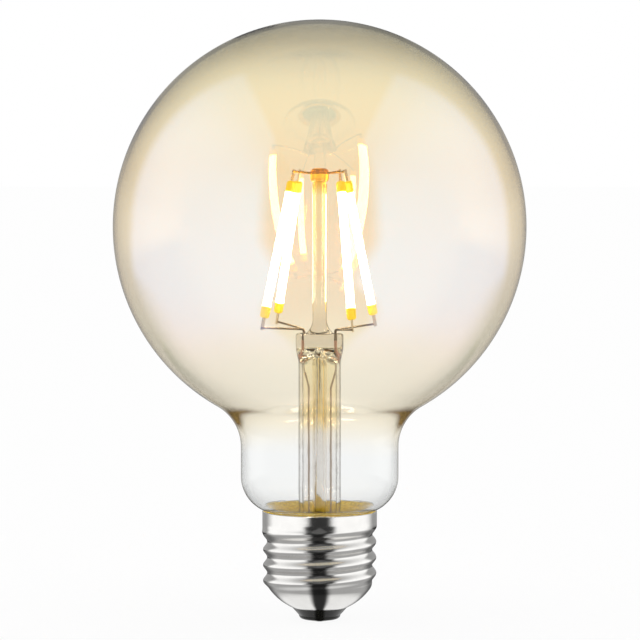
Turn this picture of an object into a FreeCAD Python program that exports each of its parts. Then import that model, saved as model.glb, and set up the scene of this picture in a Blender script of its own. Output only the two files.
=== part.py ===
import FreeCAD, Part
import Sketcher
import math
import os
import re

# Globe lamp with four light filaments, an E27 screw cap and a clear neck.
# Millimetres, +Z up. The origin is the middle of the centre contact's lower face, on the lamp's axis.

Vector = FreeCAD.Vector
Z_AXIS = Vector(0, 0, 1)

# The four filaments, with the sign of X and Y on each one's side
QUARTERS = (
    ("front_left", -1, -1),
    ("front_right", 1, -1),
    ("back_left", -1, 1),
    ("back_right", 1, 1),
)

SIZES = {
    # Glass envelope
    "overall_length": 138.5,
    "globe_diameter": 95.0,
    "shoulder_radius": 11.0,
    "neck_diameter": 36.4,
    "neck_turn_radius": 8.5,
    "neck_least": 0.5,
    "turn_share": 0.7,
    "spigot_diameter": 22.4,
    "spigot_fillet": 1.5,
    "spigot_depth": 5.0,
    "glass_wall": 0.9,
    "rim_gap": 0.15,
    # Cap
    "cap_length": 25.5,
    "collar_diameter": 26.5,
    "collar_height": 4.2,
    "collar_step": 0.8,
    "thread_diameter": 26.2,
    "thread_root_diameter": 24.3,
    "thread_pitch": 3.629,
    "thread_crest": 0.9,
    "thread_base": 2.5,
    "thread_shoulder": 0.45,
    "thread_bite": 0.15,
    "thread_start": 8.3,
    "thread_start_angle": 97.0,
    "thread_turns": 3.4,
    "shell_wall": 0.35,
    "cone_height": 5.0,
    "cone_radius": 13.0,
    "lip_diameter": 12.8,
    "insulator_height": 2.7,
    "insulator_diameter": 9.6,
    "insulator_round": 0.9,
    "insulator_fill": 1.9,
    "contact_diameter": 4.8,
    "contact_proud": 0.4,
    "contact_round": 0.25,
    "contact_pin_diameter": 2.0,
    "contact_pin_end": 0.4,
    # Glass stem
    "stem_diameter": 9.8,
    "stem_wall": 0.85,
    "stem_height": 46.0,
    "flare_radius": 4.0,
    "press_width": 11.0,
    "press_thickness": 4.6,
    "press_end_bulge": 1.7,
    "press_height": 3.2,
    "press_blend": 2.2,
    "press_round": 0.6,
    "exhaust_diameter": 3.2,
    "exhaust_wall": 0.55,
    "exhaust_tail": 5.0,
    "port_diameter": 1.4,
    "port_height": 0.9,
    "rod_diameter": 3.3,
    "rod_flare": 0.5,
    "button_diameter": 4.4,
    "button_height": 3.4,
    "button_round": 1.1,
    # Wires
    "seal_spacing": 7.4,
    "seal_diameter": 0.6,
    "seal_drop": 1.2,
    "knot_depth": 1.6,
    "support_diameter": 0.48,
    "support_spacing": 0.62,
    "support_rise": 0.9,
    "support_bend": 0.8,
    "top_wire_diameter": 0.48,
    "top_wire_spacing": 1.8,
    "top_wire_depth": 1.1,
    "top_wire_bend": 0.6,
    "lead_diameter": 0.45,
    "lead_bend": 1.0,
    "lead_waist": 5.2,
    "lead_straight": 2.0,
    "lead_lean": 4.0,
    # Filaments
    "filament_length": 32.1,
    "filament_diameter": 2.2,
    "filament_round": 0.6,
    "tab_length": 2.3,
    "tab_width": 0.8,
    "tab_thickness": 0.25,
    "weld_overlap": 0.5,
    "weld_gap": 0.02,
    "front_left_foot": 10.9,
    "front_right_foot": 9.4,
    "back_left_foot": 12.2,
    "back_right_foot": 10.8,
    "foot_spread": 10.5,
    "foot_rise": 1.7,
    "head_reach": 5.1,
    "head_spread": 3.4,
    "head_rise": 0.3,
    # Driver in the cap
    "board_level": 11.6,
    "board_thickness": 1.0,
    "board_clearance": 0.1,
    "lead_pad_spacing": 9.0,
    "capacitor_diameter": 6.3,
    "capacitor_height": 5.8,
    "capacitor_offset": 3.9,
    "rectifier_length": 4.7,
    "rectifier_width": 3.9,
    "rectifier_height": 1.6,
    "chip_length": 4.9,
    "chip_width": 3.9,
    "chip_height": 1.5,
    "resistor_length": 6.3,
    "resistor_width": 3.1,
    "resistor_height": 0.7,
    "parts_offset": 6.2,
    "contact_pad_offset": 4.4,
    "contact_lead_straight": 1.5,
    "shell_pad_offset": 9.2,
    "shell_lead_rise": 4.5,
}

doc = FreeCAD.newDocument("globe_bulb")
sheet = doc.addObject("Spreadsheet::Sheet", "Sizes")
for row, (alias, number) in enumerate(SIZES.items(), 1):
    sheet.set(f"A{row}", alias)
    sheet.set(f"B{row}", str(number))
    sheet.setAlias(f"B{row}", alias)
doc.recompute()

# Levels and radii that several pieces share, as expressions in the sheet's sizes
GLOBE_R = "(globe_diameter / 2)"
GLOBE_Z = f"(overall_length - {GLOBE_R})"
NECK_R = "(neck_diameter / 2)"
SPIGOT_R = "(spigot_diameter / 2)"
RIM_Z = "cap_length"
SPIGOT_Z = f"({RIM_Z} - spigot_depth)"
COLLAR_BORE_R = "(collar_diameter / 2 - shell_wall)"
COLLAR_Z = f"({RIM_Z} - collar_height)"
ROOT_R = "(thread_root_diameter / 2)"
SHELL_BORE_R = f"({ROOT_R} - shell_wall)"
LIP_Z = "(contact_proud + insulator_height)"
LIP_R = "(lip_diameter / 2)"
CONE_Z = f"({LIP_Z} + cone_height)"
FILL_Z = f"({LIP_Z} + insulator_fill)"
STEM_BORE_R = "(stem_diameter / 2 - stem_wall)"
PRESS_Z = f"({SPIGOT_Z} + stem_height)"
SLAB_Z = f"({PRESS_Z} - press_height)"
ROOF_Z = f"({SLAB_Z} - press_blend)"
KNOT_Z = f"({PRESS_Z} - knot_depth)"
SEAL_X = "(seal_spacing / 2)"
BOARD_TOP = "(board_level + board_thickness)"

# The neck's lower turn clears the cap's rim by rim_gap and runs on into the spigot's fillet.
# On a short neck the turn takes at most turn_share of the room above the rim, and the shoulder what is left.
NECK_STEP = f"({NECK_R} - {COLLAR_BORE_R})"
NECK_FOOT = f"({RIM_Z} + rim_gap)"
NECK_ROOM = f"({GLOBE_Z} - sqrt({GLOBE_R}^2 - {NECK_R}^2) - {NECK_FOOT})"
TURN_LIMIT = f"(((turn_share * {NECK_ROOM})^2 + {NECK_STEP}^2) / (2 * {NECK_STEP}))"
TURN_R = f"min(neck_turn_radius; {TURN_LIMIT})"
TURN_X = f"({NECK_R} - {TURN_R})"
TURN_Z = f"({NECK_FOOT} + sqrt({TURN_R}^2 - ({COLLAR_BORE_R} - {TURN_X})^2))"
FILLET_X = f"({SPIGOT_R} + spigot_fillet)"
TURN_SUM = f"({TURN_R} + spigot_fillet)"
TURN_DROP = f"sqrt({TURN_SUM}^2 - ({FILLET_X} - {TURN_X})^2)"
FILLET_Z = f"({TURN_Z} - {TURN_DROP})"
NECK_REACH = f"({GLOBE_Z} - {TURN_Z} - neck_least)"
SHOULDER_LIMIT = f"(({NECK_R}^2 + {NECK_REACH}^2 - {GLOBE_R}^2) / (2 * ({GLOBE_R} - {NECK_R})))"
SHOULDER_R = f"min(shoulder_radius; {SHOULDER_LIMIT})"
SHOULDER_X = f"({NECK_R} + {SHOULDER_R})"
SHOULDER_SUM = f"({GLOBE_R} + {SHOULDER_R})"
SHOULDER_DROP = f"sqrt({SHOULDER_SUM}^2 - {SHOULDER_X}^2)"
SHOULDER_Z = f"({GLOBE_Z} - {SHOULDER_DROP})"

# The filament welds: the rod is as long as the front left filament needs, and the other feet hang level with
# their own lean. Each foot stands its own way out to the side, as a mount set by hand does.
WELD_SPAN = "(filament_length + 2 * tab_length)"
WELD_DROP = {
    name: f"sqrt({WELD_SPAN}^2 - ({name}_foot - head_reach)^2 - (foot_spread - head_spread)^2)"
    for name, side, face in QUARTERS
}
HEAD_Z = f"({PRESS_Z} + foot_rise + {WELD_DROP['front_left']})"
FOOT_Z = {name: f"({HEAD_Z} - {drop})" for name, drop in WELD_DROP.items()}
TOP_WIRE_Z = f"({HEAD_Z} - head_rise)"
BUTTON_Z = f"({TOP_WIRE_Z} + top_wire_depth - button_height)"


def cell(expression):
    """The expression with every size written as its cell in the sheet."""
    return re.sub(r"[a-z_]+", lambda word: "Sizes." + word[0] if word[0] in SIZES else word[0], expression)


def value(expression):
    """The expression's number at the sheet's present sizes."""
    return float(sheet.evalExpression(cell(expression)))


def bind(thing, **properties):
    for name, expression in properties.items():
        thing.setExpression(name.replace("__", "."), cell(expression))


def new_body(label):
    return doc.addObject("PartDesign::Body", label)


def new_sketch(body, name, role, offset=None):
    sketch = body.newObject("Sketcher::SketchObject", f"{body.Name}_{name}")
    plane = next(item for item in body.Origin.OriginFeatures if item.Role == role)
    sketch.AttachmentSupport = [(plane, "")]
    sketch.MapMode = "FlatFace"
    if offset:
        bind(sketch, AttachmentOffset__Base__z=offset)
    return sketch


def arc_between(first, last, radius):
    """The short arc from first to last that turns left, or right where the radius is negative."""
    chord = last - first
    left = Vector(-chord.y, chord.x, 0).normalize() * math.copysign(1, radius)
    rise = math.sqrt(max(radius**2 - (chord.Length / 2) ** 2, 0))
    crown = (first + last) / 2 + left * (rise - abs(radius))
    return Part.Arc(first, crown, last) if radius > 0 else Part.Arc(last, crown, first)


def pin_point(sketch, geometry, end, x, y):
    """Fix one sketch point at two expressions."""
    origin, x_axis, y_axis = -1, -1, -2
    for kind, axis, expression in (("DistanceX", y_axis, x), ("DistanceY", x_axis, y)):
        number = value(expression)
        if abs(number) < 1e-9:
            sketch.addConstraint(Sketcher.Constraint("PointOnObject", geometry, end, axis))
            continue
        index = sketch.addConstraint(Sketcher.Constraint(kind, origin, 1, geometry, end, number))
        sketch.setExpression(f"Constraints[{index}]", cell(expression))


def draw_profile(sketch, corners):
    """A closed outline through corners (x, y) or (x, y, radius), the radius of the arc to the next corner."""
    points = [Vector(value(corner[0]), value(corner[1]), 0) for corner in corners]
    ends = []
    for here, corner in enumerate(corners):
        first, last = points[here], points[(here + 1) % len(points)]
        radius = corner[2] if len(corner) > 2 else None
        if radius is None:
            geometry = sketch.addGeometry(Part.LineSegment(first, last))
            ends.append((geometry, 1, 2))
            continue
        turn = value(radius)
        geometry = sketch.addGeometry(arc_between(first, last, turn))
        index = sketch.addConstraint(Sketcher.Constraint("Radius", geometry, abs(turn)))
        sketch.setExpression(f"Constraints[{index}]", cell(f"abs({radius})"))
        ends.append((geometry, 1, 2) if turn > 0 else (geometry, 2, 1))
    for here, corner in enumerate(corners):
        geometry, start, _ = ends[here]
        before, _, stop = ends[here - 1]
        sketch.addConstraint(Sketcher.Constraint("Coincident", before, stop, geometry, start))
        pin_point(sketch, geometry, start, corner[0], corner[1])


def draw_circle(sketch, x, y, diameter):
    centre = Vector(value(x), value(y), 0)
    geometry = sketch.addGeometry(Part.Circle(centre, Z_AXIS, value(diameter) / 2))
    index = sketch.addConstraint(Sketcher.Constraint("Diameter", geometry, value(diameter)))
    sketch.setExpression(f"Constraints[{index}]", cell(diameter))
    pin_point(sketch, geometry, 3, x, y)


def revolve(body, name, corners, kind="PartDesign::Revolution"):
    sketch = new_sketch(body, f"{name}_outline", "XZ_Plane")
    draw_profile(sketch, corners)
    feature = body.newObject(kind, f"{body.Name}_{name}")
    feature.Profile = sketch
    feature.ReferenceAxis = (sketch, ["V_Axis"])
    feature.Angle = 360
    return feature


def drill(body, name, sketch, depth, reverse=False):
    """Pocket a sketch to a depth and make sure that it cut something."""
    before = body.Shape.Volume
    feature = body.newObject("PartDesign::Pocket", f"{body.Name}_{name}")
    feature.Profile = sketch
    feature.Reversed = reverse
    bind(feature, Length=depth)
    doc.recompute()
    if not body.Shape.Volume < before - 1e-6:
        raise RuntimeError(f"{feature.Name} cut nothing")
    return feature


def turned_piece(label, corners):
    body = new_body(label)
    revolve(body, "turned", corners)
    return body


def bend_path(corners, radius):
    """Straight edges through the corners, with a tangent arc at each inner corner."""
    edges, start = [], corners[0]
    for before, corner, after in zip(corners, corners[1:], corners[2:]):
        back = (before - corner).normalize()
        ahead = (after - corner).normalize()
        half = back.getAngle(ahead) / 2
        reach = radius / math.tan(half)
        crown = corner + (back + ahead).normalize() * (radius / math.sin(half) - radius)
        edges.append(Part.LineSegment(start, corner + back * reach))
        edges.append(Part.Arc(corner + back * reach, crown, corner + ahead * reach))
        start = corner + ahead * reach
    edges.append(Part.LineSegment(start, corners[-1]))
    return edges


def bent_wire(label, corners, diameter, radius, start_plane):
    """A round wire in its own XZ plane that leaves the start plane square on."""
    body = new_body(label)
    points = [Vector(value(x), value(z), 0) for x, z in corners]
    path = new_sketch(body, "path", "XZ_Plane")
    for edge in bend_path(points, value(radius)):
        path.addGeometry(edge)
    if start_plane == "XY_Plane":
        section = new_sketch(body, "section", start_plane, corners[0][1])
        draw_circle(section, corners[0][0], "0", diameter)
    else:
        section = new_sketch(body, "section", start_plane, corners[0][0])
        draw_circle(section, "0", corners[0][1], diameter)
    doc.recompute()
    pipe = body.newObject("PartDesign::AdditivePipe", f"{body.Name}_swept")
    pipe.Profile = section
    pipe.Spine = (path, [f"Edge{number + 1}" for number in range(len(path.Shape.Edges))])
    return body


def block(label, length, width, height, centre_x, centre_y, base):
    """An upright box, centred on a point of the board."""
    box = doc.addObject("Part::Box", label)
    bind(box, Length=length, Width=width, Height=height)
    bind(box, Placement__Base__x=f"{centre_x} - {length} / 2", Placement__Base__y=f"{centre_y} - {width} / 2")
    bind(box, Placement__Base__z=base)
    return box


def cylinder(label, diameter, height, x, y, base):
    solid = doc.addObject("Part::Cylinder", label)
    bind(solid, Radius=f"{diameter} / 2", Height=height)
    bind(solid, Placement__Base__x=x, Placement__Base__y=y, Placement__Base__z=base)
    return solid


# Glass envelope: globe, shoulder, neck and spigot with one even wall
def make_globe():
    def on_turn(radius):
        return (
            f"{TURN_X} + {radius} * ({FILLET_X} - {TURN_X}) / {TURN_SUM}",
            f"{TURN_Z} - {radius} * {TURN_DROP} / {TURN_SUM}",
        )

    def on_shoulder(radius):
        return (
            f"{SHOULDER_X} * {radius} / {SHOULDER_SUM}",
            f"{GLOBE_Z} - {radius} * {SHOULDER_DROP} / {SHOULDER_SUM}",
        )

    inner_turn = f"({TURN_R} - glass_wall)"
    inner_globe = f"({GLOBE_R} - glass_wall)"
    return turned_piece("glass_globe", [
        (SPIGOT_R, SPIGOT_Z),
        (SPIGOT_R, FILLET_Z, "-spigot_fillet"),
        (*on_turn(TURN_R), TURN_R),
        (NECK_R, TURN_Z),
        (NECK_R, SHOULDER_Z, f"-{SHOULDER_R}"),
        (*on_shoulder(GLOBE_R), GLOBE_R),
        ("0", "overall_length"),
        ("0", "overall_length - glass_wall", f"-{inner_globe}"),
        (*on_shoulder(inner_globe), f"{SHOULDER_R} + glass_wall"),
        (f"{NECK_R} - glass_wall", SHOULDER_Z),
        (f"{NECK_R} - glass_wall", TURN_Z, f"-{inner_turn}"),
        (*on_turn(inner_turn), "spigot_fillet + glass_wall"),
        (f"{SPIGOT_R} - glass_wall", FILLET_Z),
        (f"{SPIGOT_R} - glass_wall", SPIGOT_Z),
    ])


# Stem: a tube that flares out to the spigot below and is pinched flat above
def make_stem():
    body = new_body("glass_stem")
    outer, bore = "(stem_diameter / 2)", STEM_BORE_R
    flare_x, flare_z = f"({outer} + flare_radius)", f"({SPIGOT_Z} + flare_radius)"
    revolve(body, "tube", [
        (outer, ROOF_Z),
        (outer, flare_z, "flare_radius"),
        (flare_x, SPIGOT_Z),
        (SPIGOT_R, SPIGOT_Z),
        (SPIGOT_R, f"{SPIGOT_Z} - stem_wall"),
        (flare_x, f"{SPIGOT_Z} - stem_wall", "-(flare_radius + stem_wall)"),
        (bore, flare_z),
        (bore, ROOF_Z),
    ])
    around = f"({outer} / sqrt(2))"
    edge, half = "(press_width / 2 - press_end_bulge)", "(press_thickness / 2)"
    end_radius = f"(({half}^2 + press_end_bulge^2) / (2 * press_end_bulge))"
    circle = new_sketch(body, "circle", "XY_Plane", ROOF_Z)
    draw_profile(circle, [
        (around, f"-{around}", outer),
        (around, around, outer),
        (f"-{around}", around, outer),
        (f"-{around}", f"-{around}", outer),
    ])
    slab = new_sketch(body, "slab", "XY_Plane", SLAB_Z)
    draw_profile(slab, [
        (edge, f"-{half}", end_radius),
        (edge, half),
        (f"-{edge}", half, end_radius),
        (f"-{edge}", f"-{half}"),
    ])
    doc.recompute()
    pinch = body.newObject("PartDesign::AdditiveLoft", "glass_stem_pinch")
    pinch.Profile = circle
    pinch.Sections = [slab]
    doc.recompute()
    press = body.newObject("PartDesign::Pad", "glass_stem_press")
    press.Profile = slab
    bind(press, Length="press_height")
    doc.recompute()
    top = value(PRESS_Z)
    rounded = body.newObject("PartDesign::Fillet", "glass_stem_round")
    rounded.Base = (press, [
        f"Edge{number}" for number, edge in enumerate(press.Shape.Edges, 1)
        if edge.BoundBox.ZMin > top - 1e-4
    ])
    bind(rounded, Radius="press_round")
    doc.recompute()
    seals = new_sketch(body, "seals", "XY_Plane", KNOT_Z)
    supports = new_sketch(body, "supports", "XY_Plane", PRESS_Z)
    for side in ("", "-"):
        draw_circle(seals, f"{side}{SEAL_X}", "0", "seal_diameter")
        for face in ("", "-"):
            draw_circle(supports, f"{side}{SEAL_X}", f"{face}support_spacing / 2", "support_diameter")
    drill(body, "seal_holes", seals, f"{KNOT_Z} - {ROOF_Z}")
    drill(body, "support_holes", supports, "knot_depth")
    bore_hole = new_sketch(body, "port_bore", "XY_Plane", ROOF_Z)
    draw_circle(bore_hole, "0", "0", "exhaust_diameter - 2 * exhaust_wall")
    drill(body, "port_up", bore_hole, "port_height", reverse=True)
    side_hole = new_sketch(body, "port_side", "XZ_Plane")
    draw_circle(side_hole, "0", f"{ROOF_Z} + port_height", "port_diameter")
    drill(body, "port_out", side_hole, "stem_diameter", reverse=True)
    return body


# Exhaust tube: fused to the stem's roof, melted shut at its lower end inside the cap
def make_exhaust():
    outer, bore = "(exhaust_diameter / 2)", "(exhaust_diameter / 2 - exhaust_wall)"
    tail = f"({SPIGOT_Z} - stem_wall - exhaust_tail)"
    return turned_piece("exhaust_tube", [
        ("0", tail, outer),
        (outer, f"{tail} + {outer}"),
        (outer, ROOF_Z),
        (bore, ROOF_Z),
        (bore, f"{tail} + {outer}", f"-{bore}"),
        ("0", f"{tail} + exhaust_wall"),
    ])


# Centre rod: a glass cane with a flared foot and the button that holds the two top wires
def make_rod():
    rod, button = "(rod_diameter / 2)", "(button_diameter / 2)"
    top = f"({BUTTON_Z} + button_height)"
    body = turned_piece("centre_rod", [
        ("0", PRESS_Z),
        (f"{rod} + rod_flare", PRESS_Z, "-rod_flare"),
        (rod, f"{PRESS_Z} + rod_flare"),
        (rod, BUTTON_Z),
        (f"{button} - button_round", BUTTON_Z, "button_round"),
        (button, f"{BUTTON_Z} + button_round"),
        (button, f"{top} - button_round", "button_round"),
        (f"{button} - button_round", top),
        ("0", top),
    ])
    doc.recompute()
    holes = new_sketch(body, "wire_holes", "YZ_Plane", f"-{button}")
    for face in ("", "-"):
        draw_circle(holes, f"{face}top_wire_spacing / 2", TOP_WIRE_Z, "top_wire_diameter")
    drill(body, "wire_bores", holes, "button_diameter", reverse=True)
    return body


# Rolled cap shell: collar, screw thread, rounded cone and the lip that holds the insulator
def make_shell():
    body = new_body("cap_shell")
    collar = "(collar_diameter / 2)"
    step_z = f"({COLLAR_Z} - collar_step)"
    revolve(body, "blank", [
        ("0", LIP_Z),
        (LIP_R, LIP_Z, "cone_radius"),
        (ROOT_R, CONE_Z),
        (ROOT_R, step_z),
        (collar, COLLAR_Z),
        (collar, RIM_Z),
        ("0", RIM_Z),
    ])
    ridge = new_sketch(body, "ridge", "XZ_Plane")
    ridge.AttachmentOffset = FreeCAD.Placement(
        Vector(0, 0, 0), FreeCAD.Rotation(Vector(0, 1, 0), value("thread_start_angle"))
    )
    crest, flank = "(thread_diameter / 2)", "(thread_diameter / 2 - thread_shoulder)"
    foot = f"({ROOT_R} - thread_bite)"
    half_crest, half_base = "(thread_crest / 2)", "(thread_base / 2)"
    half_flank = f"({half_crest} + thread_shoulder)"
    draw_profile(ridge, [
        (foot, f"thread_start - {half_base}"),
        (flank, f"thread_start - {half_flank}"),
        (crest, f"thread_start - {half_crest}"),
        (crest, f"thread_start + {half_crest}"),
        (flank, f"thread_start + {half_flank}"),
        (foot, f"thread_start + {half_base}"),
    ])
    doc.recompute()
    plain = body.Shape.Volume
    thread = body.newObject("PartDesign::AdditiveHelix", "cap_shell_thread")
    thread.Profile = ridge
    thread.ReferenceAxis = (ridge, ["V_Axis"])
    thread.Mode = "pitch-height-angle"
    bind(thread, Pitch="thread_pitch", Height="thread_pitch * thread_turns")
    doc.recompute()
    if not body.Shape.Volume > plain + 1:
        raise RuntimeError("the thread added nothing")
    hollow = revolve(body, "hollow", [
        ("0", f"{LIP_Z} - shell_wall"),
        (f"{LIP_R} - shell_wall", f"{LIP_Z} - shell_wall"),
        (f"{LIP_R} - shell_wall", f"{LIP_Z} + shell_wall", "cone_radius - shell_wall"),
        (SHELL_BORE_R, CONE_Z),
        (SHELL_BORE_R, step_z),
        (COLLAR_BORE_R, COLLAR_Z),
        (COLLAR_BORE_R, f"{RIM_Z} + shell_wall"),
        ("0", f"{RIM_Z} + shell_wall"),
    ], "PartDesign::Groove")
    doc.recompute()
    if not hollow.Shape.Volume < plain / 2:
        raise RuntimeError("the cap shell stayed solid")
    return body


# Cement: fills the collar around the spigot, up to the spigot's fillet
def make_cement():
    top_x = f"({TURN_X} + {TURN_R} * ({FILLET_X} - {TURN_X}) / {TURN_SUM})"
    top_z = f"({TURN_Z} - {TURN_R} * {TURN_DROP} / {TURN_SUM})"
    return turned_piece("cap_cement", [
        (SPIGOT_R, COLLAR_Z),
        (COLLAR_BORE_R, COLLAR_Z),
        (COLLAR_BORE_R, top_z),
        (top_x, top_z, "spigot_fillet"),
        (SPIGOT_R, FILLET_Z),
    ])


# Black glass insulator: fills the bottom of the shell and stands out below its lip
def make_insulator():
    pin, face = "(contact_pin_diameter / 2)", "(insulator_diameter / 2)"
    lip = f"({LIP_R} - shell_wall)"
    return turned_piece("cap_insulator", [
        (pin, "contact_proud"),
        (f"{face} - insulator_round", "contact_proud", "insulator_round"),
        (face, "contact_proud + insulator_round"),
        (LIP_R, LIP_Z),
        (lip, LIP_Z),
        (lip, FILL_Z),
        (pin, FILL_Z),
    ])


# Centre contact: a round head below the insulator on a pin through it
def make_contact():
    head, pin = "(contact_diameter / 2)", "(contact_pin_diameter / 2)"
    return turned_piece("centre_contact", [
        ("0", "0"),
        (f"{head} - contact_round", "0", "contact_round"),
        (head, "contact_round"),
        (head, "contact_proud"),
        (pin, "contact_proud"),
        (pin, f"{FILL_Z} + contact_pin_end"),
        ("0", f"{FILL_Z} + contact_pin_end"),
    ])


# Wires of the mount: seal wires in the press, outer leads below them, support wires above
def make_leads():
    pieces = []
    seal_foot = f"({ROOF_Z} - seal_drop)"
    waist = "(lead_waist / 2)"
    pad = "(lead_pad_spacing / 2)"
    for name, side, turn in (("right", "", 0), ("left", "-", 180)):
        pieces.append(cylinder(
            f"seal_wire_{name}", "seal_diameter", f"{KNOT_Z} - {seal_foot}", f"{side}{SEAL_X}", "0", seal_foot
        ))
        lead = bent_wire(f"outer_lead_{name}", [
            (SEAL_X, seal_foot),
            (SEAL_X, f"{seal_foot} - lead_straight"),
            (waist, f"{seal_foot} - lead_straight - lead_lean"),
            (waist, f"{SPIGOT_Z} - stem_wall"),
            (pad, f"{BOARD_TOP} + lead_straight"),
            (pad, BOARD_TOP),
        ], "lead_diameter", "lead_bend", "XY_Plane")
        lead.Placement.Rotation = FreeCAD.Rotation(Z_AXIS, turn)
        pieces.append(lead)
    return pieces


def make_supports():
    pieces = []
    knee = f"({PRESS_Z} + support_rise)"
    out_y = "(foot_spread - support_spacing / 2)"
    for name, side, face in QUARTERS:
        out_x = f"({name}_foot - {SEAL_X})"
        reach = f"sqrt({out_x}^2 + {out_y}^2)"
        share = f"(1 + weld_overlap / {reach})"
        wire = bent_wire(f"support_wire_{name}", [
            ("0", KNOT_Z),
            ("0", knee),
            (f"{reach} * {share}", f"{knee} + ({FOOT_Z[name]} - {knee}) * {share}"),
        ], "support_diameter", "support_bend", "XY_Plane")
        heading = math.degrees(math.atan2(face * value(out_y), side * value(out_x)))
        wire.Placement = FreeCAD.Placement(
            Vector(side * value(SEAL_X), face * value("support_spacing / 2"), 0),
            FreeCAD.Rotation(Z_AXIS, heading),
        )
        pieces.append(wire)
    return pieces


# Top wires: each runs straight through the button, then both arms rise outwards to two filaments
def make_top_wires():
    pieces = []
    out = "(head_spread - top_wire_spacing / 2)"
    rise = f"sqrt({out}^2 + head_rise^2)"
    knee = "(button_diameter / 2 + top_wire_bend)"
    reach = f"sqrt((head_reach - {knee})^2 + {rise}^2)"
    share = f"(1 + weld_overlap / {reach})"
    lean = math.degrees(math.atan2(value(out), value("head_rise")))
    for name, face in (("front", -1), ("back", 1)):
        body = bent_wire(f"top_wire_{name}", [
            ("0", "0"),
            (knee, "0"),
            (f"{knee} + (head_reach - {knee}) * {share}", f"{rise} * {share}"),
        ], "top_wire_diameter", "top_wire_bend", "YZ_Plane")
        doc.recompute()
        mirrored = body.newObject("PartDesign::Mirrored", f"{body.Name}_both_arms")
        mirrored.Originals = [body.Tip]
        plane = next(item for item in body.Origin.OriginFeatures if item.Role == "YZ_Plane")
        mirrored.MirrorPlane = (plane, [""])
        body.Tip = mirrored
        body.Placement = FreeCAD.Placement(
            Vector(0, face * value("top_wire_spacing / 2"), value(TOP_WIRE_Z)),
            FreeCAD.Rotation(Vector(1, 0, 0), -face * lean),
        )
        pieces.append(body)
    return pieces


# Filaments: each hangs between a top wire's arm and a support wire, its end tabs laid against both
def make_filaments():
    pieces = []
    knee = value("button_diameter / 2 + top_wire_bend")
    head_rise, head_out = value("head_rise"), value("head_spread - top_wire_spacing / 2")
    beside = value("tab_thickness / 2 + weld_gap")
    length, overlap = value("filament_length"), value("weld_overlap")
    for name, side, face in QUARTERS:
        head = Vector(side * value("head_reach"), face * value("head_spread"), value(HEAD_Z))
        foot = Vector(side * value(f"{name}_foot"), face * value("foot_spread"), value(FOOT_Z[name]))
        exit_point = Vector(side * value(SEAL_X), face * value("support_spacing / 2"), value(PRESS_Z))
        arm = Vector(side * (value("head_reach") - knee), face * head_out, head_rise).normalize()
        support = (foot - exit_point - Z_AXIS * value("support_rise")).normalize()
        outward = Vector(side, face, 0)
        upper, lower = head, foot
        for _ in range(8):
            along = (upper - lower).normalize()
            across = [along.cross(arm).normalize(), along.cross(support).normalize()]
            across = [item if item.dot(outward) > 0 else -item for item in across]
            upper = head + across[0] * (beside + value("top_wire_diameter / 2"))
            lower = foot + across[1] * (beside + value("support_diameter / 2"))
        tab = ((upper - lower).Length - length) / 2
        rod = turned_piece(f"filament_{name}", [
            ("0", "0"),
            ("filament_diameter / 2 - filament_round", "0", "filament_round"),
            ("filament_diameter / 2", "filament_round"),
            ("filament_diameter / 2", "filament_length - filament_round", "filament_round"),
            ("filament_diameter / 2 - filament_round", "filament_length"),
            ("0", "filament_length"),
        ])
        rod.Placement = FreeCAD.Placement(lower + along * tab, FreeCAD.Rotation(Z_AXIS, along))
        pieces.append(rod)
        for end, base, flat in (
            ("head", lower + along * (tab + length), across[0]),
            ("foot", lower - along * overlap, across[1]),
        ):
            wide = flat.cross(along)
            strip = doc.addObject("Part::Box", f"filament_{name}_{end}_tab")
            bind(strip, Length="tab_width", Width="tab_thickness")
            strip.Height = tab + overlap
            corner = base - wide * value("tab_width / 2") - flat * value("tab_thickness / 2")
            strip.Placement = FreeCAD.Placement(corner, FreeCAD.Rotation(wide, flat, along, "ZYX"))
            pieces.append(strip)
    return pieces


# Driver: a round board pressed into the shell's bore, with its parts and its two cap leads
def make_driver():
    board = cylinder(
        "driver_board", f"2 * ({SHELL_BORE_R} - board_clearance)", "board_thickness", "0", "0", "board_level"
    )
    can = cylinder(
        "filter_capacitor", "capacitor_diameter", "capacitor_height",
        "capacitor_offset", "0", "board_level - capacitor_height",
    )
    rectifier = block(
        "bridge_rectifier", "rectifier_length", "rectifier_width", "rectifier_height",
        "0", "parts_offset", BOARD_TOP,
    )
    chip = block(
        "driver_chip", "chip_length", "chip_width", "chip_height", "0", "-parts_offset", BOARD_TOP
    )
    resistor = block(
        "fuse_resistor", "resistor_length", "resistor_width", "resistor_height",
        "-contact_pad_offset", "parts_offset / 2", "board_level - resistor_height",
    )
    contact_lead = bent_wire("contact_lead", [
        ("0", f"{FILL_Z} + contact_pin_end"),
        ("0", f"{FILL_Z} + contact_pin_end + contact_lead_straight"),
        ("-contact_pad_offset", "board_level - contact_lead_straight"),
        ("-contact_pad_offset", "board_level"),
    ], "lead_diameter", "lead_bend", "XY_Plane")
    wall = f"({SHELL_BORE_R} - board_clearance)"
    shell_lead = bent_wire("shell_lead", [
        ("-shell_pad_offset", BOARD_TOP),
        ("-shell_pad_offset", f"{BOARD_TOP} + shell_lead_rise"),
        (f"-{wall}", f"{BOARD_TOP} + shell_lead_rise"),
    ], "lead_diameter", "lead_bend", "XY_Plane")
    return [board, can, rectifier, chip, resistor, contact_lead, shell_lead]


sub_parts = [
    make_globe(),
    make_stem(),
    make_exhaust(),
    make_rod(),
    make_shell(),
    make_cement(),
    make_insulator(),
    make_contact(),
    *make_leads(),
    *make_supports(),
    *make_top_wires(),
    *make_filaments(),
    *make_driver(),
]
doc.recompute()

for item in doc.Objects:
    if "Invalid" in item.State or "Error" in item.State:
        raise RuntimeError(f"{item.Name} failed: {item.State}")
for piece in sub_parts:
    if piece.Shape.isNull() or not piece.Shape.isValid() or len(piece.Shape.Solids) != 1:
        raise RuntimeError(f"{piece.Label} is not one valid solid")

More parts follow.
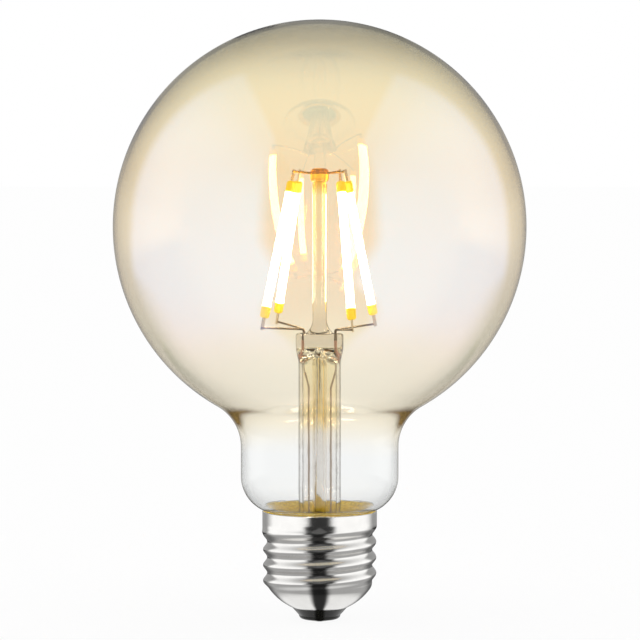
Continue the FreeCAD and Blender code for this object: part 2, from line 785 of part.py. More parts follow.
os.makedirs("parts", exist_ok=True)
for piece in sub_parts:
    piece.Shape.exportStep(f"parts/{piece.Label}.step")
    print(f"{piece.Label}: {piece.Shape.Volume:.2f} mm3")
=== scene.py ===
import math

import bpy
import numpy as np
from mathutils import Matrix, Vector


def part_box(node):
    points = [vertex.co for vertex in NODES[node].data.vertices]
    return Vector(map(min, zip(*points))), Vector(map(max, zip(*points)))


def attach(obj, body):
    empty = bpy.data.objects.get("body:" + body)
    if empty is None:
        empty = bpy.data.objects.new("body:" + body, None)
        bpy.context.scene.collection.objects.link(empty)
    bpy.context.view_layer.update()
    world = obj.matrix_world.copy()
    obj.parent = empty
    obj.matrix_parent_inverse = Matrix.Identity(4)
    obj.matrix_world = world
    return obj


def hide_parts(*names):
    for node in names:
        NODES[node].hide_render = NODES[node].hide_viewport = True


# A lit globe lamp dressed around its solids: glass, filaments and a rolled screw cap
# Sizes are in millimetres and angles in radians, unless a comment says otherwise
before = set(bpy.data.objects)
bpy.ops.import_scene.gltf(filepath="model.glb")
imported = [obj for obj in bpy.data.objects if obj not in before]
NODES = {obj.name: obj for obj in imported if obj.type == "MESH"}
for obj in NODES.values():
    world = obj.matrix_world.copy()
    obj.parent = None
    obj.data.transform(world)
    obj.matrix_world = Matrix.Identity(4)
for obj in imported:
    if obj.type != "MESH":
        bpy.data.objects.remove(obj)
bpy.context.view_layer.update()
BODY = "root"
MM = 0.001


def node_box(name):
    low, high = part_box(name)
    return low / MM, high / MM


# Sizes that the solids give
GLOBE_LOW, GLOBE_HIGH = node_box("glass_globe")
GLOBE_R = (GLOBE_HIGH.x - GLOBE_LOW.x) / 2
GLOBE_Z = GLOBE_HIGH.z - GLOBE_R
SPIGOT_Z = GLOBE_LOW.z
SHELL_LOW, SHELL_HIGH = node_box("cap_shell")
LIP_Z = SHELL_LOW.z
RIM_Z = SHELL_HIGH.z
COLLAR_R = SHELL_HIGH.y
PRESS_Z = node_box("glass_stem")[1].z
ROD_HIGH = node_box("centre_rod")[1]
BUTTON_R = ROD_HIGH.x
BUTTON_TOP = ROD_HIGH.z
EXHAUST_LOW, EXHAUST_HIGH = node_box("exhaust_tube")
EXHAUST_R = EXHAUST_HIGH.x
EXHAUST_TIP = EXHAUST_LOW.z
ROOF_Z = EXHAUST_HIGH.z

# Glass envelope
GLASS_WALL = 0.9
SHOULDER_R = 11.0
NECK_R = 18.2
TURN_R = 8.5
SPIGOT_R = 11.2
FILLET_R = 1.5
RIM_GAP = 0.15
CEMENT_TOP = 24.2

# Rolled cap, with the thread's ends in turns
SHELL_WALL = 0.35
LIP_R = 6.4
ROOT_R = 12.15
CREST_R = 13.1
CONE_TOP = 8.1
CONE_ARC_R = 13.0
STEP_LOW, STEP_HIGH = 20.5, 21.3
CORNER_ROUND = 0.7
PITCH = 3.629
CREST_Z = 7.322
THREAD_FIRST, THREAD_LAST = 0.1, 4.0
THREAD_FADE = 0.38

# Stem: a tube, a press that is a rounded slab, a dished top and the rod's foot
FLARE_R = 4.0
STEM_R = 4.9
STEM_WALL = 0.85
ARCH_RISE = 1.9
PINCH_LOW, PINCH_HIGH = ROOF_Z - 1.5, PRESS_Z - 2.9
PRESS_HALF = (5.5, 2.3)
PRESS_SQUARE = 3.4
PRESS_ROUND = 0.6
PRESS_DISH = 0.3
DISH_SHARE = 0.75
FOOT_HALF = 3.3
FOOT_SQUARE = 2.6
FOOT_LIFT = 0.15
FOOT_RISE = 3.3
FOOT_CURVE = 2.2
ROUND = 2.0
ROD_R = 1.65

# Button on the rod
BUTTON_HEIGHT = 3.4
BUTTON_ROUND = 1.2
BUTTON_SIDE = 0.5
BUTTON_DROP = 0.3
BUTTON_NECK = 1.0
BUTTON_FLARE = 0.05

# Exhaust tube and the port that opens it
EXHAUST_WALL = 0.55
PORT_R = 0.7
PORT_RISE = 0.9
PORT_FLARE = 1.5

# Filaments, with the resin's thickness in shares of its radius
TIP_ROUND = 0.6
DEAD_END = 2.7
END_FADE = 0.35
WAIST_FADE = 0.8
RESIN_SLIM = 0.13
RESIN_UNEVEN = 0.035
WAVE_ALONG, WAVE_AROUND, WAVE_TWIST = 1.7, 0.31, 0.8

# Points around each piece
GLOBE_COUNT = 256
STEM_COUNT = 128
BORE_COUNT = 48
PORT_COUNT = 32
SHELL_COUNT = 192
FILAMENT_COUNT = 40

# Steps along each curve
GLOBE_STEPS = 96
BEND_STEPS = 28
FLARE_STEPS = 16
CORNER_STEPS = 8
TIP_STEPS = 6
PINCH_STEPS = 20
FILAMENT_STEPS = 59

# Levels of the shell: few on the cone and collar, close together on the thread
CONE_LEVELS, COLLAR_LEVELS = 12, 6
LEVEL_GAP = 0.14
THREAD_LEVELS = (CONE_TOP - 1.9, STEP_HIGH + 0.6)
CONE_LAST = CONE_TOP - 2
COLLAR_FIRST, COLLAR_LAST = STEP_HIGH + 0.8, RIM_Z - 0.1

# Camera: where it stood, from the photograph, in degrees
CAMERA_AZIMUTH = 11.8
CAMERA_PITCH = 2.8
CAMERA_DISTANCE = 650.0
CAMERA_AIM_Z = 69.58
CAMERA_AIM_SIDE = 0.08
VIEW_WIDTH = 147.5
SENSOR = 36.0

# A range below is its low and high ends and, where it has four numbers, the values there

# Amber glass: a film thinner than a wave of light, and tints by height, with painted shade in a band
# near the top
GLASS_IOR = 1.5
COAT_IOR = 2.15
COAT_NM = 151.0
COAT_FADE = (40.0, 80.0)
CLOUD_SCALE, CLOUD_REACH = 0.03, 5.0
MOULD_SCALE = 0.05
# The amber coat's tint by height; from 127 to 136 mm it is darkened by painted shade
AMBER_TINT_AND_TOP_SHADE = (
    (39.0, (0.93, 0.94, 0.935)),
    (46.0, (1.0, 0.92, 0.74)),
    (60.0, (1.0, 0.9, 0.745)),
    (85.0, (1.0, 0.89, 0.72)),
    (105.0, (1.0, 0.855, 0.6)),
    (122.0, (1.0, 0.92, 0.67)),
    (127.0, (0.96, 0.9, 0.68)),
    (132.0, (0.76, 0.73, 0.59)),
    (136.0, (0.66, 0.64, 0.53)),
    (139.0, (1.0, 0.99, 0.93)),
)
# Tints of turned-away edges: partly the coat's deeper tint on a slant, partly painted shade
AMBER_EDGE_SHADE = (
    (39.0, (0.6, 0.6, 0.59)),
    (45.0, (0.85, 0.8, 0.7)),
    (53.0, (0.85, 0.8, 0.7)),
    (64.0, (0.5, 0.45, 0.33)),
    (120.0, (0.45, 0.4, 0.3)),
    (137.0, (0.85, 0.83, 0.8)),
)

# Painted shade on the amber glass, at its edges, as a dark outline and as dark streaks at the shoulder:
# how far its surface is turned away, from 0 to 1, and heights
EDGE_SHADE_TURN = (0.35, 0.92)
OUTLINE_SHADE_TURN = (0.75, 0.92)
OUTLINE_SHADE_TOP = (115.0, 130.0)
OUTLINE_SHADE_TONE = (0.35, 0.33, 0.27, 1)
FOLD_LOW, FOLD_HIGH = (44.0, 46.5), (49.0, 51.0)
SHOULDER_SHADE_TURN = (0.6, 0.72)
SHOULDER_SHADE_TONE = (0.1, 0.05, 0.008, 1)

# Stem glass: tints by height, painted shade at its edges, its smoke for each metre and the painted glow
# of its button
STEM_TINT = (
    (20.0, (0.965, 0.96, 0.955)),
    (44.0, (0.965, 0.955, 0.945)),
    (48.0, (1.0, 0.93, 0.76)),
    (60.0, (1.0, 0.95, 0.82)),
    (64.0, (0.79, 0.75, 0.71)),
    (69.0, (0.82, 0.78, 0.73)),
    (74.0, (1.0, 0.97, 0.86)),
    (98.0, (1.0, 0.95, 0.7)),
    (101.0, (0.95, 0.68, 0.1)),
    (103.0, (0.84, 0.58, 0.03)),
)
# Painted shade that the stem's turned-away edges take, by height
STEM_EDGE_SHADE = (
    (66.0, (0.04, 0.032, 0.024)),
    (69.0, (0.2, 0.15, 0.07)),
    (76.0, (0.65, 0.42, 0.1)),
    (104.0, (0.8, 0.5, 0.1)),
)
STEM_SHADE_TURN = (0.45, 0.78)
TUBE_ACROSS = (5.5, 7.0)
TUBE_TOP = (60.0, 62.0)
TUBE_EDGE_SHADE = (0.7, 0.56, 0.36, 1)
PRESS_WAVES = (58.0, 61.0, 1.0, 4.0)
ROD_WAVES = (66.0, 69.0, 1.0, 0.2)
STEM_SMOKE = 12.0
SMOKE_TONE = (0.5, 0.35, 0.0, 1)
# The button's painted glow: where it starts, its grain and its colour
GLOW_FOOT = (100.8, 101.6)
GLOW_GRAIN = (0.35, 0.65, 0.4, 1.6)
PAINTED_GLOW_TONE = (0.95, 0.42, 0.0, 1)
BUTTON_GLOW = 0.22

# Cement and filaments: how strongly they shine; the cement's shine is a painted glow
CEMENT_GLOW = 0.45
LIT_STRENGTH = 24.0
DEAD_STRENGTH = 0.75
LIT_TONE = (1.0, 0.96, 0.85, 1)
DEAD_TONE = (0.8, 0.62, 0.01, 1)

# Studio: tall soft panels at both sides, a dim front and ceiling, and a white back
NEAR_EDGE, NEAR_SOFT = math.radians(31), math.radians(6)
FAR_EDGE, FAR_END = math.radians(120), math.radians(133)
BACK_EDGE = (math.radians(172), math.radians(178))
PANEL_FADE, PANEL_END = (0.3, 1.8), (1.8, 2.2)
DIM_FRONT = 0.04
PANEL_LIGHT = 1.25
PANEL_TOP = 0.45
DIM_TOP = 0.12
DIM_GAP = 0.38
LEAST_SIDE = 0.01
WHITE = (1, 1, 1, 1)

# Studio as it is seen through the glass, with the turn of the floor's painted light in metres
HAZE_TURN = (-0.3, 0.3)
HAZE_RISE = (0.026, 0.156)
HAZE_TOP = 0.45
HAZE_FRONT = 0.74
FLOOR_TURN = (-0.15, 0.1)

# Floor, with the levels of its painted shadow under and near the lamp, seen in reflections
FLOOR_HALF = 60000.0
FLOOR_DROP = 0.05
FLOOR_PAINT = (0.9, 0.9, 0.9, 1)
FLOOR_SEEN = 0.94
PAINTED_SHADE_UNDER, PAINTED_SHADE_NEAR = 0.8, 0.36

# Floor in reflections, with painted light and shade on it: distances from the lamp's axis
UNDER_END, NEAR_END = (11.0, 17.0), (28.0, 120.0)
FOOT_NEAR_EDGE, NEAR_SPREAD = math.radians(16), (60.0, 105.0)
FOOT_FAR_EDGE, FAR_SPREAD = math.radians(95), (130.0, 450.0)
BAND_START, BAND_REACH, BAND_FADE = (120.0, 190.0), 100.0, (0.05, 0.5)
BAND_NARROW = math.radians(11)
PATCH_START, PATCH_END = (65.0, 85.0), (145.0, 175.0)
PATCH_TURN = (math.radians(122), math.radians(135))
DARK_PATCH_DEPTH = 0.92

# Light from above
SKY_LIGHT = 1.4
SKY_SPREAD = math.radians(70)

# Paths of light: many, because the glass has many layers
ALL_BOUNCES = 48
MIRROR_BOUNCES = 16

# Meshes: the radius of a ring that is one point, and the angle from which an edge is sharp
POLE = 1e-6
SHARP_ANGLE = math.radians(40)


# Shapes
def smooth(low, high, x):
    t = np.clip((x - low) / (high - low), 0, 1)
    return t * t * (3 - 2 * t)


def arc(centre, radius, start, end, steps):
    """Points on an arc from one angle to another, in degrees."""
    angles = np.radians(np.linspace(start, end, steps + 1))
    return [(centre[0] + radius * math.cos(a), centre[1] + radius * math.sin(a)) for a in angles]


def circle(radius, z, count):
    if radius < POLE:
        return [(0, 0, z)]
    turns = np.linspace(0, 2 * math.pi, count, endpoint=False)
    return [(radius * math.cos(a), radius * math.sin(a), z) for a in turns]


def lathe(outline, count):
    return [circle(radius, z, count) for radius, z in outline]


def skin(name, rings):
    """A closed mesh over rings of points. A ring of one point is a pole."""
    points, starts = [], []
    for ring in rings:
        starts.append(len(points))
        points.extend(ring)
    faces = []
    for here in range(len(rings)):
        there = (here + 1) % len(rings)
        a, b, n, m = starts[here], starts[there], len(rings[here]), len(rings[there])
        for i in range(max(n, m)):
            j = (i + 1) % max(n, m)
            if n == m == 1:
                continue
            if n == 1:
                faces.append((a, b + j, b + i))
            elif m == 1:
                faces.append((a + i, a + j, b))
            else:
                faces.append((a + i, a + j, b + j, b + i))
    mesh = bpy.data.meshes.new(name)
    mesh.from_pydata([Vector(p) * MM for p in points], [], faces)
    mesh.shade_smooth()
    mesh.set_sharp_from_angle(angle=SHARP_ANGLE)
    return mesh


def new_piece(name, mesh, slot, materials, *replaced):
    piece = bpy.data.objects.new(name, mesh)
    bpy.context.scene.collection.objects.link(piece)
    for material in materials:
        mesh.materials.append(material)
    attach(piece, BODY)
    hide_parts(*replaced)
    return piece


# Materials
class Nodes:
    """Adds nodes to one shader tree. An input is a number, a colour or another node's output."""

    def __init__(self, owner):
        owner.use_nodes = True
        self.tree = owner.node_tree
        self.tree.nodes.clear()

    def add(self, kind, inputs=None, **settings):
        node = self.tree.nodes.new("ShaderNode" + kind)
        for key, setting in settings.items():
            setattr(node, key, setting)
        for key, given in (inputs or {}).items():
            if isinstance(given, bpy.types.NodeSocket):
                self.tree.links.new(given, node.inputs[key])
            else:
                node.inputs[key].default_value = given
        return node

    def math(self, operation, first, second=0.0):
        return self.add("Math", {0: first, 1: second}, operation=operation).outputs[0]

    def times(self, first, second):
        return self.math("MULTIPLY", first, second)

    def squares(self, first, second):
        """The sum of two squares."""
        return self.math("ADD", self.math("POWER", first, 2.0), self.math("POWER", second, 2.0))

    def step(self, value, low, high, bottom=0.0, top=1.0):
        """A smooth step of a value from bottom to top."""
        inputs = {"Value": value, "From Min": low, "From Max": high, "To Min": bottom, "To Max": top}
        return self.add("MapRange", inputs, interpolation_type="SMOOTHSTEP").outputs["Result"]

    def fall(self, value, low, high):
        """A smooth step of a value from one down to nothing."""
        return self.step(value, low, high, 1.0, 0.0)

    def between(self, share, first, second):
        """A number between two others."""
        return self.add("Mix", {0: share, 2: first, 3: second}).outputs[0]

    def mix(self, share, first, second, blend="MIX"):
        """A colour from two others."""
        inputs = {0: share, 6: first, 7: second}
        return self.add("Mix", inputs, data_type="RGBA", blend_type=blend).outputs[2]

    def shade(self, share, first, second):
        """A shader from two others."""
        return self.add("MixShader", {0: share, 1: first, 2: second}).outputs[0]

    def facing(self):
        """How far the surface is turned away, from 0 to 1."""
        return self.add("LayerWeight", {"Blend": 0.5}).outputs["Facing"]

    def place(self, axis):
        """One coordinate of the piece."""
        point = self.add("TexCoord").outputs["Object"]
        return self.math("DIVIDE", self.add("SeparateXYZ", {0: point}).outputs[axis], MM)

    def noise(self, scale, detail=2.0, stretch=(1, 1, 1)):
        """Noise over the piece, with its scale in cycles for each millimetre."""
        point = self.add("TexCoord").outputs["Object"]
        scales = [scale / MM * s for s in stretch]
        spread = self.add("Mapping", {"Vector": point, "Scale": scales}).outputs[0]
        return self.add("TexNoise", {"Vector": spread, "Scale": 1.0, "Detail": detail}).outputs["Fac"]

    def ramp(self, value, *stops):
        """Colours by place: stops are (place, colour), in order."""
        first, last = stops[0][0], stops[-1][0]
        inputs = {"Value": value, "From Min": first, "From Max": last}
        node = self.add("ValToRGB", {"Fac": self.add("MapRange", inputs).outputs["Result"]})
        elements = node.color_ramp.elements
        while len(elements) < len(stops):
            elements.new(0.5)
        for element, (place, colour) in zip(elements, stops):
            element.position = (place - first) / (last - first)
            element.color = (*colour, 1)
        return node.outputs["Color"]

    def bump(self, height, strength, distance):
        inputs = {"Height": height, "Strength": strength, "Distance": distance * MM}
        return self.add("Bump", inputs).outputs["Normal"]

    def surface(self, **inputs):
        """Ends the tree with one Principled shader. An input's name has underscores for spaces."""
        named = {key.replace("_", " "): given for key, given in inputs.items()}
        shader = self.add("BsdfPrincipled", named)
        self.add("OutputMaterial", {"Surface": shader.outputs[0]})


def new_material(name):
    material = bpy.data.materials.new(name)
    return material, Nodes(material)


def amber_glass():
    """The envelope's outer skin: a thin amber coat that fades out above the clear neck."""
    material, n = new_material("amber_coated_glass")
    cloud = n.times(n.math("SUBTRACT", n.noise(CLOUD_SCALE), 0.5), CLOUD_REACH)
    height = n.math("ADD", n.place("Z"), cloud)
    turned = n.facing()
    # Edges turned away take painted shade, partly the coat's deeper tint on a slant
    tint, rim = n.ramp(height, *AMBER_TINT_AND_TOP_SHADE), n.ramp(height, *AMBER_EDGE_SHADE)
    colour = n.mix(n.step(turned, *EDGE_SHADE_TURN), tint, rim, "MULTIPLY")
    # A painted dark outline of shade along the turned-away edges below the top
    outline = n.times(n.step(turned, *OUTLINE_SHADE_TURN), n.fall(height, *OUTLINE_SHADE_TOP))
    colour = n.mix(outline, colour, OUTLINE_SHADE_TONE, "MULTIPLY")
    # Painted dark streaks of shade along the shoulder's fold
    fold = n.times(n.step(height, *FOLD_LOW), n.fall(height, *FOLD_HIGH))
    shoulder_shade = n.times(fold, n.step(turned, *SHOULDER_SHADE_TURN))
    colour = n.mix(shoulder_shade, colour, SHOULDER_SHADE_TONE, "MULTIPLY")
    film = n.step(height, *COAT_FADE, GLASS_IOR, COAT_IOR)
    wave = n.bump(n.noise(MOULD_SCALE, detail=1.0), strength=0.08, distance=0.4)
    n.surface(
        Base_Color=colour, Roughness=0.0, IOR=GLASS_IOR, Transmission_Weight=1.0,
        Thin_Film_Thickness=COAT_NM, Thin_Film_IOR=film, Normal=wave,
    )
    return material


def blown_glass():
    """The envelope's inner skin: clear glass with a faint mould wave."""
    material, n = new_material("blown_glass")
    colour = n.mix(n.noise(MOULD_SCALE), (0.985, 0.99, 0.985, 1), WHITE)
    wave = n.bump(n.noise(MOULD_SCALE, detail=1.0), strength=0.05, distance=0.4)
    n.surface(Base_Color=colour, Roughness=0.0, IOR=GLASS_IOR, Transmission_Weight=1.0, Normal=wave)
    return material


def clear_glass():
    """The stem's glass: painted shade at its edges, wavy at the press and a painted glow at the button.
    """
    material, n = new_material("flame_worked_glass")
    height = n.place("Z")
    across = n.squares(n.place("X"), n.place("Y"))
    # Painted shade at the turned-away edges, with a paler painted edge inside the exhaust tube
    inmost = n.times(n.fall(across, *TUBE_ACROSS), n.fall(height, *TUBE_TOP))
    tint = n.ramp(height, *STEM_TINT)
    rim = n.mix(inmost, n.ramp(height, *STEM_EDGE_SHADE), TUBE_EDGE_SHADE)
    colour = n.mix(n.step(n.facing(), *STEM_SHADE_TURN), tint, rim, "MULTIPLY")
    pressed = n.times(n.step(height, *PRESS_WAVES), n.step(height, *ROD_WAVES))
    waves = n.times(n.noise(0.35, stretch=(1, 1, 0.3)), pressed)
    # A grainy painted glow on the glass button
    painted_glow = n.times(n.step(height, *GLOW_FOOT), n.step(n.noise(1.2, detail=3.0), *GLOW_GRAIN))
    n.surface(
        Base_Color=colour, Roughness=0.0, IOR=GLASS_IOR, Transmission_Weight=1.0,
        Emission_Color=PAINTED_GLOW_TONE, Emission_Strength=n.times(painted_glow, BUTTON_GLOW),
        Normal=n.bump(waves, strength=0.25, distance=0.3),
    )
    smoke = n.add("VolumeAbsorption", {"Color": SMOKE_TONE, "Density": STEM_SMOKE})
    n.tree.links.new(smoke.outputs[0], n.tree.nodes["Material Output"].inputs["Volume"])
    return material


def plated(name, bright, dull, rough, scratch):
    """Plated sheet or wire: cloudy tone, fine drawn scratches and uneven gloss."""
    material, n = new_material(name)
    cloud = n.noise(0.25, detail=4.0)
    lines = n.noise(1.2, detail=3.0, stretch=(0.08, 0.08, 6.0))
    colour = n.mix(cloud, (*dull, 1), (*bright, 1))
    gloss = n.math("ADD", n.times(lines, rough), rough * 0.5)
    wave = n.bump(lines, scratch, distance=0.02)
    n.surface(Base_Color=colour, Metallic=1.0, Roughness=gloss, Normal=wave)
    return material


def black_insulator():
    material, n = new_material("black_glass")
    colour = n.mix(n.noise(0.8, detail=3.0), (0.008, 0.008, 0.006, 1), (0.018, 0.018, 0.014, 1))
    gloss = n.step(n.noise(0.5), 0.3, 0.7, bottom=0.08, top=0.2)
    wave = n.bump(n.noise(0.4), strength=0.2, distance=0.1)
    n.surface(Base_Color=colour, Roughness=gloss, Specular_IOR_Level=0.25, Normal=wave)
    return material


def cap_cement():
    material, n = new_material("ochre_cement")
    grain = n.noise(1.6, detail=5.0)
    colour = n.ramp(grain, (0.3, (0.5, 0.3, 0.02)), (0.5, (0.75, 0.5, 0.04)), (0.7, (0.9, 0.66, 0.1)))
    # The cement shines with a painted glow in its own colour
    n.surface(
        Base_Color=colour, Roughness=0.4, Normal=n.bump(grain, strength=0.5, distance=0.1),
        Emission_Color=colour, Emission_Strength=CEMENT_GLOW,
    )
    return material


def phosphor(length):
    """Phosphor resin on a lit filament: white hot along its middle, yellow at its two dead ends."""
    material, n = new_material("lit_phosphor")
    along = n.place("Z")
    first = n.step(along, DEAD_END - END_FADE, DEAD_END + END_FADE)
    last = n.fall(along, length - DEAD_END - END_FADE, length - DEAD_END + END_FADE)
    lit = n.times(first, last)
    grain = n.noise(2.5, detail=3.0)
    resin = n.mix(grain, (0.9, 0.56, 0.02, 1), (0.98, 0.72, 0.1, 1))
    glow = n.mix(lit, DEAD_TONE, LIT_TONE)
    strength = n.math("ADD", n.times(lit, LIT_STRENGTH), DEAD_STRENGTH)
    n.surface(
        Base_Color=resin, Roughness=0.45, Emission_Color=glow, Emission_Strength=strength,
        Normal=n.bump(grain, strength=0.3, distance=0.05),
    )
    return material


def moulded(name, dark, light, scale, rough):
    """A moulded or glazed part: speckled tone and a fine matt skin."""
    material, n = new_material(name)
    grain = n.noise(scale, detail=4.0)
    colour = n.mix(grain, (*dark, 1), (*light, 1))
    gloss = n.step(grain, 0.2, 0.8, bottom=rough * 0.8, top=rough * 1.2)
    n.surface(Base_Color=colour, Roughness=gloss, Normal=n.bump(grain, strength=0.3, distance=0.03))
    return material


def board_laminate():
    material, n = new_material("lacquered_laminate")
    weave = n.noise(1.5, stretch=(1, 0.1, 1))
    tracks = n.step(n.noise(0.22, detail=0.0), 0.48, 0.52)
    lacquer = n.mix(weave, (0.02, 0.12, 0.05, 1), (0.03, 0.17, 0.07, 1))
    colour = n.mix(tracks, lacquer, (0.05, 0.26, 0.1, 1))
    n.surface(Base_Color=colour, Roughness=0.35, Normal=n.bump(tracks, strength=0.3, distance=0.04))
    return material


# Envelope: outer and inner outlines of globe, shoulder, neck and spigot
def make_globe(outside, inside, bedded):
    shoulder_x, turn_x, fillet_x = NECK_R + SHOULDER_R, NECK_R - TURN_R, SPIGOT_R + FILLET_R
    shoulder_z = GLOBE_Z - math.sqrt((GLOBE_R + SHOULDER_R) ** 2 - shoulder_x**2)
    bore = COLLAR_R - SHELL_WALL
    turn_z = RIM_Z + RIM_GAP + math.sqrt(TURN_R**2 - (bore - turn_x) ** 2)
    fillet_z = turn_z - math.sqrt((TURN_R + FILLET_R) ** 2 - (fillet_x - turn_x) ** 2)
    lean = math.degrees(math.atan2(shoulder_z - GLOBE_Z, shoulder_x))
    dip = math.degrees(math.atan2(fillet_z - turn_z, fillet_x - turn_x))

    def outline(inset):
        return (
            [(SPIGOT_R - inset, SPIGOT_Z)]
            + arc((fillet_x, fillet_z), FILLET_R + inset, 180, 180 + dip, CORNER_STEPS)
            + arc((turn_x, turn_z), TURN_R - inset, dip, 0, BEND_STEPS)[1:]
            + arc((shoulder_x, shoulder_z), SHOULDER_R + inset, 180, 180 + lean, BEND_STEPS)
            + arc((0, GLOBE_Z), GLOBE_R - inset, lean, 90, GLOBE_STEPS)[1:-1]
            + [(0, GLOBE_Z + GLOBE_R - inset)]
        )

    outer = outline(0)
    mesh = skin("globe", lathe(outer + outline(GLASS_WALL)[::-1], GLOBE_COUNT))
    first_inner = (len(outer) - 1) * GLOBE_COUNT + 1
    bedded_end = sum(z < CEMENT_TOP for _, z in outer) * GLOBE_COUNT
    for face in mesh.polygons:
        if min(face.vertices) >= first_inner:
            face.material_index = 1
        elif max(face.vertices) < bedded_end:
            face.material_index = 2
    new_piece("globe", mesh, "amber_glass", [outside, inside, bedded], "glass_globe")


# Stem: exhaust tube, flared tube, flat press, rod and button melted into one piece of glass
def make_stem(material):
    turns = np.linspace(0, 2 * math.pi, STEM_COUNT, endpoint=False)

    def section(half_x, half_y, square, z):
        power = 2 / square
        return [
            (
                half_x * math.copysign(abs(math.cos(a)) ** power, math.cos(a)),
                half_y * math.copysign(abs(math.sin(a)) ** power, math.sin(a)),
                z,
            )
            for a in turns
        ]

    def blend(first, last, share):
        return [a + (b - a) * share for a, b in zip(first, last)]

    bore = STEM_R - STEM_WALL
    flare = (STEM_R + FLARE_R, SPIGOT_Z + FLARE_R)
    arch_x, arch_half = (EXHAUST_R + bore) / 2, (bore - EXHAUST_R) / 2
    arch_foot = ROOF_Z - ARCH_RISE
    roof = [
        (arch_x + arch_half * math.cos(a), arch_foot + ARCH_RISE * math.sin(a))
        for a in np.linspace(math.pi, 0, FLARE_STEPS + 1)
    ]
    seam, seam_under = SPIGOT_R - GLASS_WALL, SPIGOT_Z - STEM_WALL
    lower = (
        [(0, EXHAUST_TIP)]
        + arc((0, EXHAUST_TIP + EXHAUST_R), EXHAUST_R, -75, 0, TIP_STEPS)
        + roof
        + arc(flare, FLARE_R + STEM_WALL, 180, 270, FLARE_STEPS)
        + [(seam, seam_under), (SPIGOT_R, seam_under), (SPIGOT_R, SPIGOT_Z), (seam, SPIGOT_Z)]
        + arc(flare, FLARE_R, 270, 180, FLARE_STEPS)
    )
    rings = lathe(lower, STEM_COUNT)
    tube, slab = (STEM_R, STEM_R, ROUND), (*PRESS_HALF, PRESS_SQUARE)
    press_edge = PRESS_Z - PRESS_ROUND
    for z in np.linspace(PINCH_LOW, PINCH_HIGH, PINCH_STEPS + 1):
        rings.append(section(*blend(tube, slab, float(smooth(PINCH_LOW, PINCH_HIGH, z))), z))
    for z in np.linspace(PINCH_HIGH, press_edge, CORNER_STEPS + 1)[1:]:
        rings.append(section(*slab, z))
    for inset, z in arc((PRESS_ROUND, press_edge), PRESS_ROUND, 180, 100, TIP_STEPS)[1:]:
        rings.append(section(PRESS_HALF[0] - inset, PRESS_HALF[1] - inset, PRESS_SQUARE, z))
    rod, foot = (ROD_R, ROD_R, ROUND), (FOOT_HALF, PRESS_HALF[1] - PRESS_ROUND, FOOT_SQUARE)
    dish_z = PRESS_Z - PRESS_DISH
    rings.append(section(*blend(slab, foot, DISH_SHARE), dish_z))
    for share in np.linspace(0, 1, TIP_STEPS + 1):
        fall = (1 - share) ** FOOT_CURVE
        rings.append(section(*blend(rod, foot, fall), dish_z + FOOT_LIFT + FOOT_RISE * share))
    button_x, button_z = BUTTON_R - BUTTON_ROUND, BUTTON_TOP - BUTTON_HEIGHT / 2
    neck_z = BUTTON_TOP - BUTTON_HEIGHT - BUTTON_DROP
    upper = (
        [(ROD_R, neck_z - BUTTON_NECK), (ROD_R + BUTTON_FLARE, neck_z)]
        + arc((button_x, button_z - BUTTON_SIDE), BUTTON_ROUND, -70, 0, CORNER_STEPS)
        + arc((button_x, button_z + BUTTON_SIDE), BUTTON_ROUND, 0, 80, CORNER_STEPS)
        + [(0, BUTTON_TOP)]
    )
    rings += lathe(upper, STEM_COUNT)
    replaced = ("glass_stem", "exhaust_tube", "centre_rod")
    stem = new_piece("stem", skin("stem", rings), "clear_glass", [material], *replaced)
    cut_exhaust(stem)


def cut_exhaust(stem):
    """Hollow the exhaust tube out and open its port through the front of the press."""
    bore = EXHAUST_R - EXHAUST_WALL
    port_z = ROOF_Z + PORT_RISE
    dome = arc((0, port_z), bore, 0, 80, TIP_STEPS)
    tip = arc((0, EXHAUST_TIP + EXHAUST_R), bore, -80, 0, TIP_STEPS)
    bore_outline = [(0, EXHAUST_TIP + EXHAUST_WALL)] + tip + dome + [(0, port_z + bore)]
    port = lathe([(0, 0), (PORT_R, 0), (PORT_R * PORT_FLARE, STEM_R), (0, STEM_R)], PORT_COUNT)
    turned = [[(x, -z, port_z + y) for x, y, z in ring] for ring in port]
    tools = [skin("exhaust_bore", lathe(bore_outline, BORE_COUNT)), skin("exhaust_port", turned)]
    for mesh in tools:
        tool = bpy.data.objects.new(mesh.name, mesh)
        bpy.context.scene.collection.objects.link(tool)
        cut = stem.modifiers.new(mesh.name, "BOOLEAN")
        cut.object = tool
        cut.operation = "DIFFERENCE"
        cut.solver = "EXACT"
    bpy.context.view_layer.update()
    shaped = stem.evaluated_get(bpy.context.evaluated_depsgraph_get())
    result = bpy.data.meshes.new_from_object(shaped)
    stem.modifiers.clear()
    stem.data = result
    for mesh in tools:
        bpy.data.meshes.remove(mesh)


